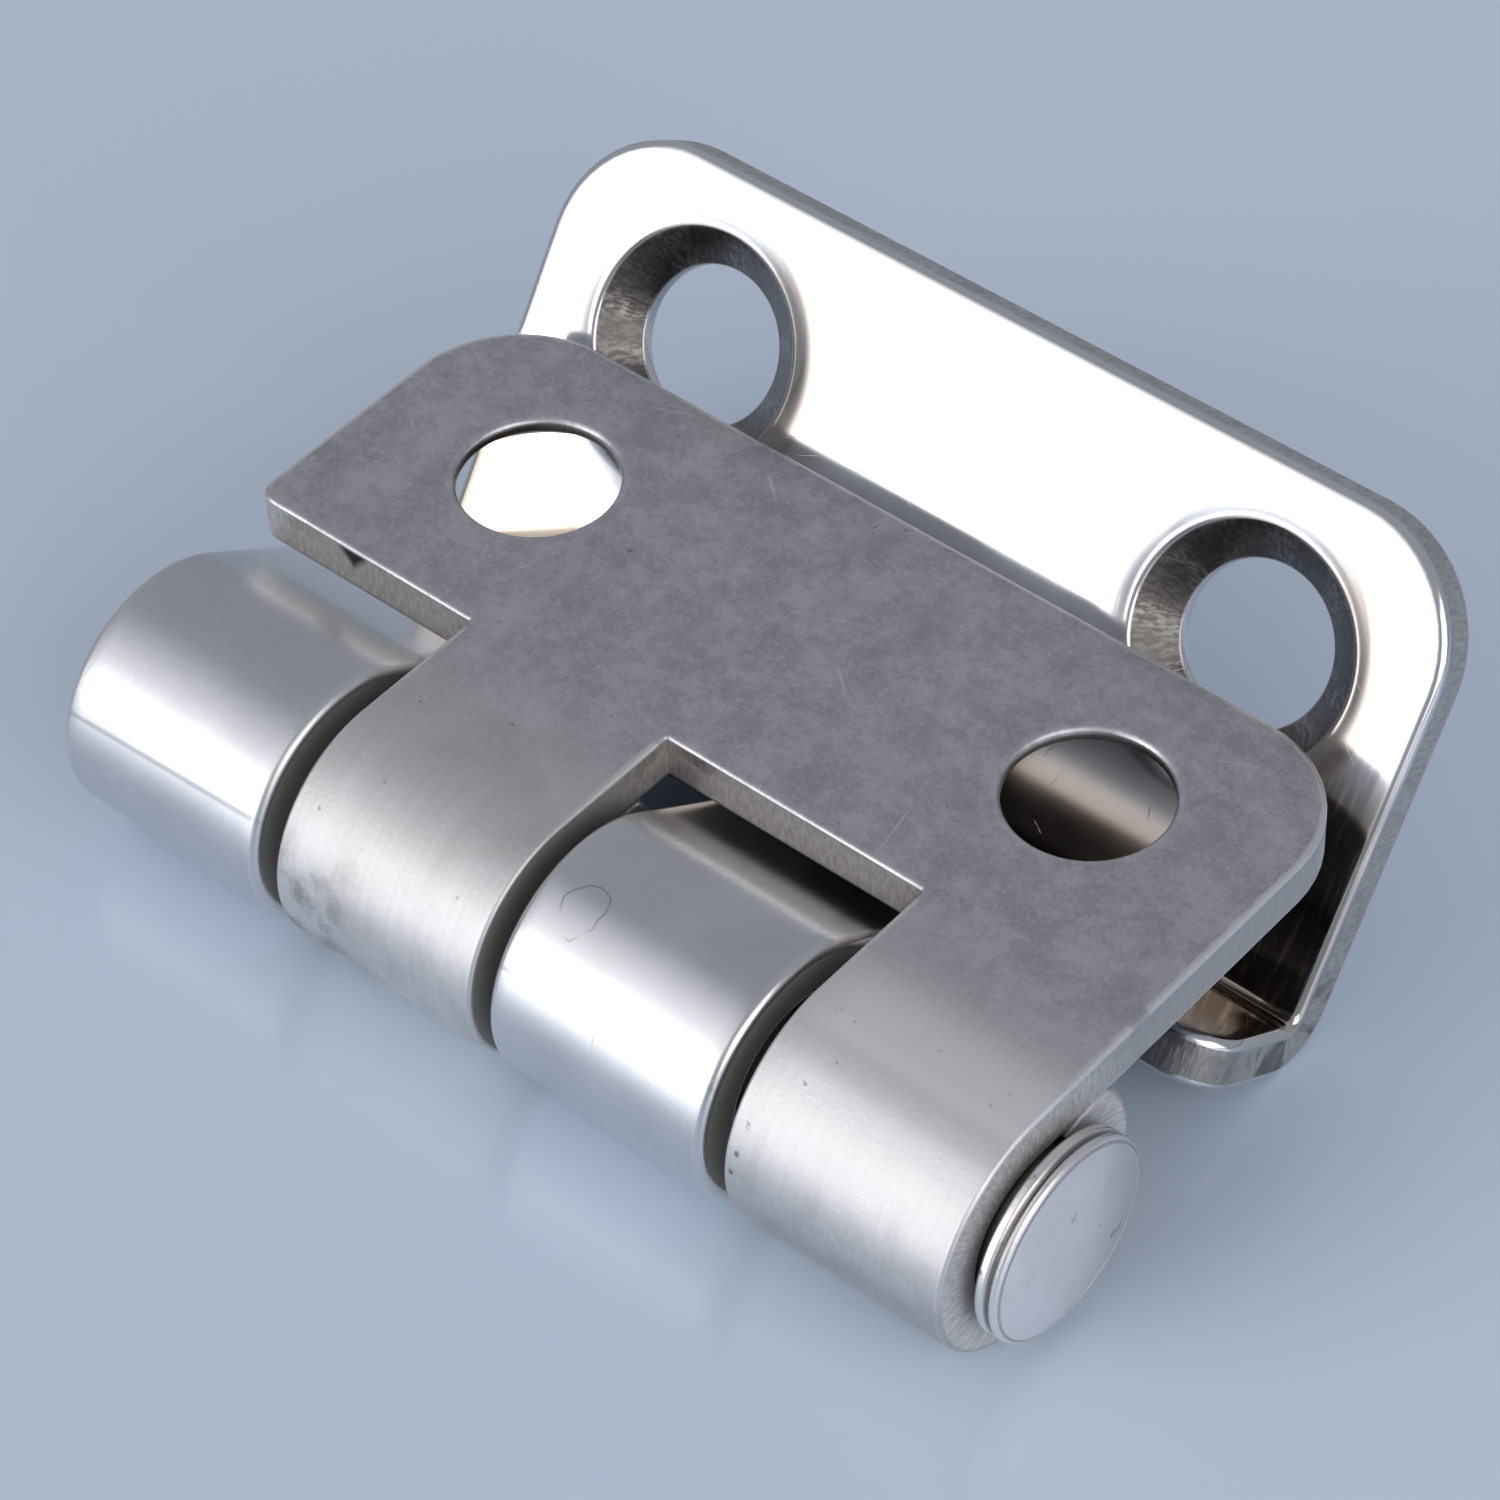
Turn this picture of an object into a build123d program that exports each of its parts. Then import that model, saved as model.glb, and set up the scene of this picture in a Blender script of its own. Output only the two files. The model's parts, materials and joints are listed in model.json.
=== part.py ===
from build123d import *
import math
import os

# Cabinet hinge of stainless sheet, lying shut on a table: a flat leaf swings on a headed pin
# against an angle leaf, until its far edge rests on the angle leaf's flange.
# X runs along the pin, towards its head, and Z is up. The origin lies on the table, under the
# middle of the hinge's box. Sizes are in millimetres.

# Sheet, pin and knuckles
sheet = 2.0
pin_radius = 3.0
pin_clearance = 0.05
hinge_width = 40.0
flat_knuckle = 9.1
outer_slot = 1.0
middle_slot = 0.8
seam_gap = 0.12
seam_angle = 60.0

# Flat leaf, measured from the pin's axis along its plate, with its holes set in from the far edge
flat_reach = 18.9
flat_notch = 5.5
flat_hole_inset = 6.5
flat_corner = 4.7
flat_shoulder_corner = 0.8
flat_edge = 0.15
stop_gap = 0.15

# Angle leaf, measured from the pin's axis along its plate, and up from the plate along its flange,
# with its holes set in from the flange's top
flange_reach = 14.2
flange_height = 17.7
flange_hole_inset = 6.7
flange_corner = 5.0
bend_inside = 0.5
angle_notch = 8.8
angle_shoulder_corner = 2.0
angle_edge = 0.3

# Screw holes, the same in both leaves
hole_spacing = 25.0
hole_radius = 3.0
countersink_radius = 4.5
countersink_angle = 90.0

# Pin's head, with a groove between its rim and its domed cap, and the peened end in the first knuckle
head_radius = 3.9
head_gap = 0.5
head_rim = 0.5
head_groove = 0.15
head_cap = 0.35
head_dome = 0.6
head_edge = 0.12
peen_flare = 0.5
peen_crown = 0.25

# Rolled barrel: the bore clears the pin, and the sheet is wrapped round the bore
bore = pin_radius + pin_clearance
barrel = bore + sheet

# Knuckles, from the left end: angle leaf, flat leaf, angle leaf, flat leaf
angle_knuckle = (hinge_width - 2 * flat_knuckle - 2 * outer_slot - middle_slot) / 2
left_end = -hinge_width / 2
right_end = hinge_width / 2
first_slot = left_end + angle_knuckle
second_slot = first_slot + outer_slot + flat_knuckle
third_slot = second_slot + middle_slot + angle_knuckle

# Pin's ends, along its axis
head_back = right_end + head_gap
groove_at = head_back + head_rim
head_front = groove_at + head_cap
head_tip = head_front + head_dome
peen_radius = pin_radius + peen_flare

# Slope of the angle leaf's plate, with the barrel and the outside of the bend both on the table
bend_outside = bend_inside + sheet
bend_along = flange_reach - bend_inside
bend_up = barrel + bend_inside
bend_drop = math.asin((barrel - bend_outside) / math.hypot(bend_along, bend_up))
slope = math.degrees(bend_drop + math.atan2(bend_up, bend_along))

# Tilt of the flat leaf, with its far lower edge against the flange's inner face
edge_angle = math.acos((flange_reach - stop_gap) / math.hypot(flat_reach, bore))
tilt = math.degrees(edge_angle - math.atan2(bore, flat_reach)) - slope

# Pin's axis, placed so that the origin lies under the middle of the hinge's box
flange_top = barrel + flange_height
flange_back = flange_reach + sheet
far_side = (
    (flange_back - angle_edge) * math.cos(math.radians(slope))
    + (flange_top - angle_edge) * math.sin(math.radians(slope))
    + angle_edge
)
axis_x = (peen_crown - head_gap - head_rim - head_cap - head_dome) / 2
axis_y = (barrel - far_side) / 2
axis_z = barrel
pin_axis = Axis((axis_x, axis_y, axis_z), (1, 0, 0))

# Largest difference between two sizes that are meant to be the same
same_size = 1e-6


def axis_point(x):
    """Point on the pin's axis, at a distance from the middle of the barrel."""
    return Vector(axis_x + x, axis_y, axis_z)


def heading(angle):
    """Direction square to the pin, at an angle above the table."""
    return Vector(0, math.cos(math.radians(angle)), math.sin(math.radians(angle)))


def leaf_axes(angle):
    """A leaf's own axes at the pin: along its plate, and square to the plate."""
    along = Axis(axis_point(0), heading(angle))
    square = Axis(axis_point(0), heading(angle + 90))
    return along, square


def section_plane(angle):
    """Plane across the left end of the barrel, with a leaf's plate along its own X."""
    return Plane(axis_point(left_end), x_dir=heading(angle), z_dir=(1, 0, 0))


def face_plane(angle, height):
    """Plane parallel to the pin, with a leaf's plate along its own Y."""
    normal = heading(angle + 90)
    return Plane(axis_point(0) + normal * height, x_dir=(1, 0, 0), z_dir=normal)


def rolled_knuckle():
    """Draws a sheet rolled round the bore, from the plate's upper face to its lower one."""
    tip_angle = math.degrees(math.asin((bore - seam_gap) / barrel))
    outside = CenterArc((0, 0), barrel, 90, 270 + tip_angle)
    inside = CenterArc((0, 0), bore, seam_angle, -270 - seam_angle)
    Line(outside @ 1, inside @ 0)


def knuckle_spaces(spaces, depth):
    """Draws the spaces that a leaf leaves for the other leaf's knuckles."""
    for start, end in spaces:
        with Locations((start, depth)):
            Rectangle(end - start, depth + 2 * barrel, align=(Align.MIN, Align.MAX))


def side_outline(faces):
    """Edges that bound one side of a bent sheet: each belongs to just one of its faces."""
    edges = [edge for face in faces for edge in face.edges()]
    return ShapeList(edge for edge in edges if sum(edge.is_same(other) for other in edges) == 1)


def pin_distance(point):
    """Distance of a point from the pin's axis."""
    return math.hypot(point.Y - axis_y, point.Z - axis_z)


def outer_edges(edges):
    """Edges that lie beyond the barrel, without the narrow ends of the screw holes."""
    beyond = edges.filter_by(lambda edge: pin_distance(edge.center()) > barrel)
    return beyond - circles(beyond, hole_radius)


def cylinders(part, radius):
    """Faces of a part that are round, of one radius."""
    round_faces = part.faces().filter_by(GeomType.CYLINDER)
    return round_faces.filter_by(lambda face: math.isclose(face.radius, radius, abs_tol=same_size))


def circles(edges, radius):
    """Edges that are round, of one radius."""
    round_edges = edges.filter_by(GeomType.CIRCLE)
    return round_edges.filter_by(lambda edge: math.isclose(edge.radius, radius, abs_tol=same_size))


def flat_faces(part, axis):
    """Flat faces of a part that are square to an axis, in groups from the axis's start to its end."""
    return part.faces().filter_by(GeomType.PLANE).filter_by(axis).group_by(axis)


# Flat leaf: a plate rolled into two knuckles, with its screw holes sunk from below
flat_along, flat_square = leaf_axes(tilt)
with BuildPart() as flat_leaf:
    with BuildSketch(section_plane(tilt)):
        with BuildLine():
            rolled_knuckle()
            Polyline((0, bore), (flat_reach, bore), (flat_reach, barrel), (0, barrel))
        make_face()
    extrude(amount=hinge_width)
    with BuildSketch(face_plane(tilt, barrel)):
        knuckle_spaces(
            [(left_end, first_slot + outer_slot), (second_slot, third_slot + outer_slot)], flat_notch
        )
    extrude(amount=-3 * barrel, mode=Mode.SUBTRACT)
    upright = flat_leaf.edges().filter_by(flat_square)
    fillet(upright.group_by(flat_along)[-1], flat_corner)
    upright = flat_leaf.edges().filter_by(flat_square)
    fillet(upright.group_by(Axis.X)[0].sort_by(flat_along)[0], flat_shoulder_corner)
    with Locations(Plane(face_plane(tilt, bore).origin, x_dir=(1, 0, 0), z_dir=-flat_square.direction)):
        with Locations((0, flat_hole_inset - flat_reach)):
            with GridLocations(hole_spacing, 1, 2, 1):
                CounterSinkHole(hole_radius, countersink_radius, sheet, countersink_angle)
    upper_side = flat_faces(flat_leaf, flat_square)[-1] + cylinders(flat_leaf, barrel)
    fillet(side_outline(upper_side), flat_edge)
    lower_side = flat_faces(flat_leaf, flat_square)[0] + cylinders(flat_leaf, bore)
    fillet(outer_edges(side_outline(lower_side)), flat_edge)

# Angle leaf: a polished plate rolled into two knuckles and bent up into a flange
angle_along, angle_square = leaf_axes(-slope)
with BuildPart() as angle_leaf:
    with BuildSketch(section_plane(-slope)):
        with BuildLine():
            rolled_knuckle()
            Line((0, bore), (bend_along, bore))
            CenterArc((bend_along, bend_up), bend_outside, -90, 90)
            Polyline(
                (flange_back, bend_up), (flange_back, flange_top),
                (flange_reach, flange_top), (flange_reach, bend_up),
            )
            CenterArc((bend_along, bend_up), bend_inside, 0, -90)
            Line((bend_along, barrel), (0, barrel))
        make_face()
    extrude(amount=hinge_width)
    with BuildSketch(face_plane(-slope, barrel)):
        knuckle_spaces([(first_slot, second_slot + middle_slot), (third_slot, right_end)], angle_notch)
    extrude(amount=-3 * barrel, mode=Mode.SUBTRACT)
    fillet(angle_leaf.edges().filter_by(angle_along).group_by(angle_square)[-1], flange_corner)
    upright = angle_leaf.edges().filter_by(angle_square)
    fillet(upright.group_by(Axis.X)[-1].sort_by(angle_along)[0], angle_shoulder_corner)
    hole_plane = Plane(
        axis_point(0) + angle_along.direction * flange_reach, x_dir=(1, 0, 0), z_dir=-angle_along.direction
    )
    with Locations(hole_plane):
        with Locations((0, flange_top - flange_hole_inset)):
            with GridLocations(hole_spacing, 1, 2, 1):
                CounterSinkHole(hole_radius, countersink_radius, sheet, countersink_angle)
    polished_side = flat_faces(angle_leaf, angle_square)[1] + flat_faces(angle_leaf, angle_along)[-2]
    polished_side += cylinders(angle_leaf, barrel) + cylinders(angle_leaf, bend_inside)
    fillet(side_outline(polished_side), angle_edge)
    back_side = flat_faces(angle_leaf, angle_square)[0] + flat_faces(angle_leaf, angle_along)[-1]
    back_side += cylinders(angle_leaf, bore) + cylinders(angle_leaf, bend_outside)
    fillet(outer_edges(side_outline(back_side)), angle_edge)
    with Locations(Plane(axis_point(left_end), z_dir=(1, 0, 0))):
        Cone(
            bore + peen_flare, bore, peen_flare,
            align=(Align.CENTER, Align.CENTER, Align.MIN), mode=Mode.SUBTRACT,
        )

# Hinge pin: a turned shank and domed head, peened out into the first knuckle
with BuildPart() as hinge_pin:
    with BuildSketch(Plane(axis_point(0), x_dir=(1, 0, 0), z_dir=(0, -1, 0))):
        with BuildLine():
            dome = TangentArc((head_tip, 0), (head_front, head_radius), tangent=(0, 1))
            Polyline(
                (head_front, head_radius), (groove_at + head_groove, head_radius),
                (groove_at, head_radius - head_groove), (groove_at - head_groove, head_radius),
                (head_back, head_radius), (head_back, pin_radius),
                (left_end + peen_flare, pin_radius), (left_end, peen_radius),
            )
            peen = TangentArc((left_end - peen_crown, 0), (left_end, peen_radius), tangent=(0, 1))
            Line(peen @ 0, dome @ 0)
        make_face()
    revolve(axis=pin_axis)
    fillet(circles(hinge_pin.edges(), head_radius), head_edge)

os.makedirs("parts", exist_ok=True)
flat_leaf.part.label = "flat_leaf"
export_step(flat_leaf.part, "parts/flat_leaf.step")
angle_leaf.part.label = "angle_leaf"
export_step(angle_leaf.part, "parts/angle_leaf.step")
hinge_pin.part.label = "hinge_pin"
export_step(hinge_pin.part, "parts/hinge_pin.step")
print(f"slope {slope:.3f}  tilt {tilt:.3f}  pin axis {axis_x:.4f}, {axis_y:.4f}, {axis_z:.4f}")
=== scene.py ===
# %% [markdown]
# # A cabinet hinge of stainless sheet
# The hinge is three pieces: a dull flat leaf, a polished angle leaf with an upright flange, and a
# headed pin through the knuckles of both. On the real hinge each leaf starts as a flat blank that is
# punched, countersunk, rolled round the pin and bent. This lesson makes the leaves in the same order,
# because a flat blank is easy to draw with soft edges, and a rule can do the rolling.
#
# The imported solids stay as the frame: they give every place and size, and the new meshes replace them
# only in the picture, with the same form and finer edges.

# %% Load the frame
import json
import math

import bpy
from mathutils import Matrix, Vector
from mathutils.geometry import delaunay_2d_cdt


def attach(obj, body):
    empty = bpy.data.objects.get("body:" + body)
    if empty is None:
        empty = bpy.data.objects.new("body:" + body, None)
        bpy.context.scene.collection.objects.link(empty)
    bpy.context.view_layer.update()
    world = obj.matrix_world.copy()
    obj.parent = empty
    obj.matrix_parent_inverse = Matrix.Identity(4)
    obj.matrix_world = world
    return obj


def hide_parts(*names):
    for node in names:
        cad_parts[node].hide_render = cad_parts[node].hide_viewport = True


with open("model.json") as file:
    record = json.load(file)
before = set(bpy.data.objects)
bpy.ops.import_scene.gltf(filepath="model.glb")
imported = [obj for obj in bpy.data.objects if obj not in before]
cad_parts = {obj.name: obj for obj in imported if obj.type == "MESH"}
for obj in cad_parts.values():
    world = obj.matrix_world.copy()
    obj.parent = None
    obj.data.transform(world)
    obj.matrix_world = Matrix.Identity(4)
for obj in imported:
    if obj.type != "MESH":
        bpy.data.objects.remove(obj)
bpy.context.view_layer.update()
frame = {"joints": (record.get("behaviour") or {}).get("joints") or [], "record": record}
scene = bpy.context.scene
scene.view_settings.view_transform = "Standard"
MM = 0.001

# %% [markdown]
# ## Sizes
# The joint of the frame lies on the pin's axis, and the faces that the screws clamp give the slope of
# each leaf. The other sizes repeat those of the solids, in millimetres. They are written once, here, so
# that the outlines below hold only names. The knuckles are k1 to k4 from the left, each with its end.

# %% Sizes of the sheet, the pin and the leaves
pin_axis = Vector(frame["joints"][0]["pos_m"])
faces = {mount["name"]: mount["axis"] for mount in frame["record"]["mounts"]}
flat_angle = math.atan2(-faces["flat_leaf_face"][1], faces["flat_leaf_face"][2])
plate_angle = math.atan2(faces["flange_face"][2], faces["flange_face"][1])

sheet = 2.0
bore = 3.05
left_end, right_end = -20.0, 20.0
k1, k1_end, k2, k2_end, k3, k3_end, k4, k4_end = left_end, -10.5, -9.5, -0.4, 0.4, 9.9, 10.9, right_end
flat_reach, flat_notch = 18.9, 5.5
flat_corner, flat_shoulder, flat_edge = 4.7, 0.8, 0.15
bend_start, bend_inside = 13.7, 0.5
bend_end = bend_start + (bend_inside + sheet / 2) * math.pi / 2
flange_end = bend_end + 17.2
angle_notch, flange_corner, angle_shoulder, angle_edge = 8.8, 5.0, 2.0, 0.3
notch_corner = 0.1
hole_half_spacing, hole_radius, countersink = 12.5, 3.0, 4.5
die_roll, dish_depth, dish_reach = 0.24, 0.18, 1.1
flat_roll_off, angle_roll_off = 0.05, 0.08
pin_radius, head_radius, head_edge, head_groove, head_dome = 3.0, 3.9, 0.12, 0.15, 0.6
head_back, groove_at, head_front = right_end + 0.5, right_end + 1.0, right_end + 1.35
peen_radius, peen_crown, peen_flare = 3.5, 0.25, 0.5
flat_hole = flat_reach - 6.5
flange_hole = flange_end - 6.7

roll_middle = bore + sheet / 2
tip_outside, tip_inside = math.radians(305.46), math.radians(330)
roll_turn = (tip_outside + tip_inside) / 2
roll_skew = (tip_outside - tip_inside) / roll_turn
roll_end = -roll_middle * roll_turn
tilts = [round(math.degrees(angle), 2) for angle in (flat_angle, plate_angle)]
print("flat leaf and angle leaf slope by", tilts, "degrees")

# %% [markdown]
# ## A blank with soft edges
# A punched blank has edges that catch the light, and on a polished part these thin lines are half of
# the look. A Bevel modifier could round them, but it stumbles where holes, notches and bends meet.
# Here the blank is drawn as rings instead: the same outline, moved in step by step over the rounded
# edge, down the wall, and back in on the other side. Each ring also stores how far it lies from the
# edge, which the materials read later for wear.

# %% An outline moved in from its edge
ARC_STEPS = 12
SHARPEST = 0.01


def corner_arc(corners, number, inset):
    """Points of one corner of an outline, moved in by an inset; a straight corner gives one point."""
    x, s, radius = corners[number][:3]
    before, after = corners[number - 1], corners[(number + 1) % len(corners)]
    go_in = (Vector((x, s)) - Vector(before[:2])).normalized()
    go_out = (Vector(after[:2]) - Vector((x, s))).normalized()
    left = Vector((-go_in.y, go_in.x))
    turn = round(left.dot(go_out))
    if turn == 0:
        return [Vector((x, s)) + left * inset]
    across = go_out - go_in
    round_by = max(radius - turn * inset, SHARPEST)
    centre = Vector((x, s)) + across * (turn * inset + round_by)
    angles = [math.pi / 2 * k / ARC_STEPS for k in range(ARC_STEPS + 1)]
    return [centre + (go_in * math.sin(a) - go_out * math.cos(a)) * round_by for a in angles]


def outline_ring(corners, inset):
    """The whole outline moved in, and where each corner's points start and end in it."""
    arcs = [corner_arc(corners, number, inset) for number in range(len(corners))]
    ring, spans = [], []
    for number, arc in enumerate(arcs):
        spans.append((len(ring), len(ring) + len(arc) - 1))
        ring += arc
        steps = corners[number][3]
        goal = arcs[(number + 1) % len(arcs)][0]
        ring += [arc[-1].lerp(goal, k / steps) for k in range(1, steps)]
    return ring, spans


# %% Rings over the edge of a sheet
EDGE_STEPS = 6
WALL_SHARES = (0.03, 0.35, 0.7, 0.97)


def rounding(radius, turn=math.pi / 2):
    """Steps over a rounded edge: how far each lies outside the tangent point, and how far down."""
    angles = [turn * k / EDGE_STEPS for k in range(EDGE_STEPS + 1)]
    return [(radius * math.sin(a), radius * (1 - math.cos(a))) for a in angles]


def edge_rings(edge, reaches, roll_off=0.0):
    """Inset, height, distance to the edge, and cut wall, from the upper face to the lower."""
    face = [(edge + reach, 0.0, reach, 0.0) for reach in reaches]
    face += [(edge - out, down, 0.0, 0.0) for out, down in rounding(edge)]
    upper = []
    for inset, down, reach, wall in face:
        drop = roll_off * max(0, 1 - inset / (edge + reaches[0])) ** 2
        upper.append((inset, sheet - down - drop * (1 - down / sheet), reach, wall))
    wall_top = upper[-1][1]
    middle = [(0.0, wall_top - (wall_top - edge) * share, 0.0, 1.0) for share in WALL_SHARES]
    return upper + middle + face[::-1]


print("rings over the edge:", len(edge_rings(flat_edge, (1.2, 0.6))))

# %% A blank as a mesh
HOLE_STEPS, STACKED = 120, 0.05


class Blank:
    """A flat sheet: X along the pin, Y along the sheet from the pin, Z through its thickness."""

    def __init__(self, corners):
        self.corners = corners
        self.points, self.faces = [], []
        self.values = {"edge": [], "wall": [], "hole": []}

    def add_ring(self, ring, height, edge, wall, hole):
        """Stores one ring of points and its values, and returns the numbers of its points."""
        first = len(self.points)
        self.points += [Vector((p[0], p[1], height)) for p in ring]
        for name, value in (("edge", edge), ("wall", wall), ("hole", hole)):
            self.values[name] += [value] * len(ring)
        return list(range(first, len(self.points)))

    def join_rings(self, outer, inner):
        """Quads between two rings, the outer one first."""
        for a, b, c, d in zip(outer, outer[1:] + outer[:1], inner[1:] + inner[:1], inner):
            self.faces.append((a, b, c, d))

    def wrap_edge(self, rings):
        """The sheet's whole edge. Keeps the innermost rings, which the faces are filled from."""
        loops = []
        for inset, height, edge, wall in rings:
            ring, self.spans = outline_ring(self.corners, inset)
            loops.append(self.add_ring(ring, height, edge, wall, 0.0))
        for inner, outer in zip(loops, loops[1:]):
            self.join_rings(outer, inner)
        self.upper, self.lower = loops[0], loops[-1]
        self.upper_holes, self.lower_holes = [], []

    def sink_hole(self, x, s, profile):
        """A hole whose profile gives radius, height, edge distance, wall and hole, from above."""
        loops = []
        for radius, height, edge, wall, hole in profile:
            angles = [math.tau * k / HOLE_STEPS for k in range(HOLE_STEPS)]
            ring = [(x + radius * math.cos(a), s + radius * math.sin(a)) for a in angles]
            loops.append(self.add_ring(ring, height, edge, wall, hole))
        for outer, inner in zip(loops, loops[1:]):
            self.join_rings(outer, inner)
        self.upper_holes.append(loops[0])
        self.lower_holes.append(loops[-1])

    def open_bore(self, flare):
        """Widens the first knuckle's bore towards its end, where the pin is peened over."""
        for point in self.points:
            radius = bore + flare - (point.x - left_end)
            if point.y >= radius or radius <= bore:
                continue
            least = radius - bore if point.y < 0 else math.sqrt(radius**2 - point.y**2) - bore
            if point.z < least:
                point.z = least + STACKED * point.z

    def run(self, start, end, loop):
        """Points of a loop from the end of one corner to the start of another."""
        first, last = self.spans[start][1], self.spans[end][0]
        if last < first:
            last += len(loop)
        return [loop[k % len(loop)] for k in range(first, last + 1)]

    def fill_rows(self, one_side, other_side):
        """Straight rows of quads across the sheet, between two sides that run the same way."""
        for side, loop in ((1, self.upper), (-1, self.lower)):
            near, far = self.run(*one_side, loop), self.run(*other_side, loop)[::-1]
            for k in range(len(near) - 1):
                quad = (near[k], near[k + 1], far[k + 1], far[k])
                self.faces.append(quad[::side])

    def fill_tip(self, start, end):
        """The last strip of a knuckle, past its rows."""
        for side, loop in ((1, self.upper), (-1, self.lower)):
            first, last = self.spans[start][0], self.spans[end][1]
            strip = [loop[k] for k in range(first, last + 1)]
            self.faces.append(tuple(strip[::side]))

    def fill_plate(self, runs, with_holes):
        """A flat part of the sheet, bounded by runs of the outline, with its holes left open."""
        for side, loop, holes in ((1, self.upper, self.upper_holes), (-1, self.lower, self.lower_holes)):
            outline = [k for start, end in runs for k in self.run(start, end, loop)]
            rims = [outline] + (holes if with_holes else [])
            places, borders, rim_of = [], [], []
            for number, rim in enumerate(rims):
                first = len(places)
                places += [self.points[k].xy for k in rim]
                borders += [(first + k, first + (k + 1) % len(rim)) for k in range(len(rim))]
                rim_of += [(number, k) for k in rim]
            _, _, triangles, sources, _, _ = delaunay_2d_cdt(places, borders, [], 1, 1e-7)
            for triangle in triangles:
                corners = [rim_of[sources[k][0]] for k in triangle]
                touched = {number for number, _ in corners}
                if len(touched) > 1 or touched == {0}:
                    self.faces.append(tuple(k for _, k in corners)[::side])

    def make(self, name):
        """A mesh object of the blank, in metres, with its values as attributes."""
        mesh = bpy.data.meshes.new(name)
        mesh.from_pydata([p * MM for p in self.points], [], self.faces)
        self.values["along"] = [p.y for p in self.points]
        self.values["across"] = [p.x for p in self.points]
        self.values["depth"] = [sheet - p.z for p in self.points]
        for label, numbers in self.values.items():
            mesh.attributes.new(label, "FLOAT", "POINT").data.foreach_set("value", numbers)
        mesh.validate()
        blank = bpy.data.objects.new(name, mesh)
        scene.collection.objects.link(blank)
        return blank


# %% [markdown]
# ## The two blanks
# Each leaf's outline goes round from corner to corner: the place along the pin, the place along the
# sheet, the corner's radius, and the number of steps to the next corner. Extra corners on straight
# edges mark where the roll or the bend starts, because the sheet needs more rows there.

# %% Hole profiles
CONE, WALL = math.radians(45), math.radians(90)
PAST_RIM = 0.06


def hole_rim(radius, edge, turn, reaches):
    """Radius, depth, distance to the edge, wall and hole, over a rim that turns into a wall or a cone."""
    start = radius + edge * math.tan(turn / 2)
    rings = [(start + reach, 0.0, reach, 0.0, 0.0) for reach in reaches]
    rings += [(start - out, down, 0.0, 0.0, 0.0) for out, down in rounding(edge, turn)]
    last_radius, last_depth = rings[-1][:2]
    below = (last_radius - PAST_RIM * math.cos(turn), last_depth + PAST_RIM * math.sin(turn))
    return rings + [(*below, 0.0, 0.0, 1.0)]


def from_above(rings):
    """Depths below the upper face as heights."""
    return [(radius, sheet - depth, *values) for radius, depth, *values in rings]


mouth = hole_rim(countersink, angle_edge, CONE, ())
print("countersink's rim:", len(mouth), "rings")

# %% Flat leaf's blank
ROLL_STEPS, TIP_RADIUS, CREASE = 160, 0.12, 0.02
flat_corners = [
    (k1, flat_notch, flat_shoulder, 10), (k2, flat_notch, notch_corner, 4),
    (k2, 0, 0, ROLL_STEPS), (k2, roll_end, TIP_RADIUS, 2),
    (k2_end, roll_end, TIP_RADIUS, ROLL_STEPS), (k2_end, 0, 0, 4),
    (k2_end, flat_notch, notch_corner, 10), (k4, flat_notch, notch_corner, 4),
    (k4, 0, 0, ROLL_STEPS), (k4, roll_end, TIP_RADIUS, 2),
    (k4_end, roll_end, TIP_RADIUS, ROLL_STEPS), (k4_end, 0, 0, 12),
    (k4_end, flat_reach, flat_corner, 30), (k1, flat_reach, flat_corner, 8),
]
flat_blank = Blank(flat_corners)
flat_blank.wrap_edge(edge_rings(flat_edge, (1.2, 0.9, 0.6, 0.4, 0.2, 0.06), flat_roll_off))
cone_depth = countersink - hole_radius
flat_profile = from_above(hole_rim(hole_radius, die_roll, WALL, (1.2, 0.6, 0.2, 0.06)))
flat_profile += [
    (hole_radius, cone_depth + CREASE, 0.0, 0.0, 1.0),
    (hole_radius + CREASE, cone_depth - CREASE, 0.0, 0.0, 1.0),
]
flat_profile += hole_rim(countersink, flat_edge, CONE, (0.4, 0.2, 0.06))[::-1]
for side in (-1, 1):
    flat_blank.sink_hole(side * hole_half_spacing, flat_hole, flat_profile)
for down, tip, far_tip, up in ((2, 3, 4, 5), (8, 9, 10, 11)):
    flat_blank.fill_rows((down, tip), (far_tip, up))
    flat_blank.fill_tip(tip, far_tip)
flat_blank.fill_plate([(11, 2), (5, 8)], True)
flat_leaf = flat_blank.make("flat_leaf_sheet")
print("flat leaf blank:", len(flat_leaf.data.polygons), "faces")

# %% Angle leaf's blank
BEND_STEPS, FACE_MARGIN, BACK_EDGE = 20, 0.05, 0.04
angle_corners = [
    (k1, roll_end, TIP_RADIUS, 2), (k1_end, roll_end, TIP_RADIUS, ROLL_STEPS),
    (k1_end, 0, 0, 6), (k1_end, angle_notch, notch_corner, 10),
    (k3, angle_notch, notch_corner, 6), (k3, 0, 0, ROLL_STEPS),
    (k3, roll_end, TIP_RADIUS, 2), (k3_end, roll_end, TIP_RADIUS, ROLL_STEPS),
    (k3_end, 0, 0, 6), (k3_end, angle_notch, notch_corner, 10),
    (k4_end, angle_notch, angle_shoulder, 4), (k4_end, bend_start, 0, BEND_STEPS),
    (k4_end, bend_end, 0, 10), (k4_end, flange_end, flange_corner, 30),
    (k1, flange_end, flange_corner, 10), (k1, bend_end, 0, BEND_STEPS),
    (k1, bend_start, 0, 10), (k1, 0, 0, ROLL_STEPS),
]
angle_blank = Blank(angle_corners)
angle_blank.wrap_edge(edge_rings(angle_edge, (0.55, 0.42, 0.3, 0.18, 0.06), angle_roll_off))
mouth_start = mouth[0][0]
angle_profile = [(mouth_start + dish_reach + FACE_MARGIN, 0.0, 1.0, 0.0, 0.0)]
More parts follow.
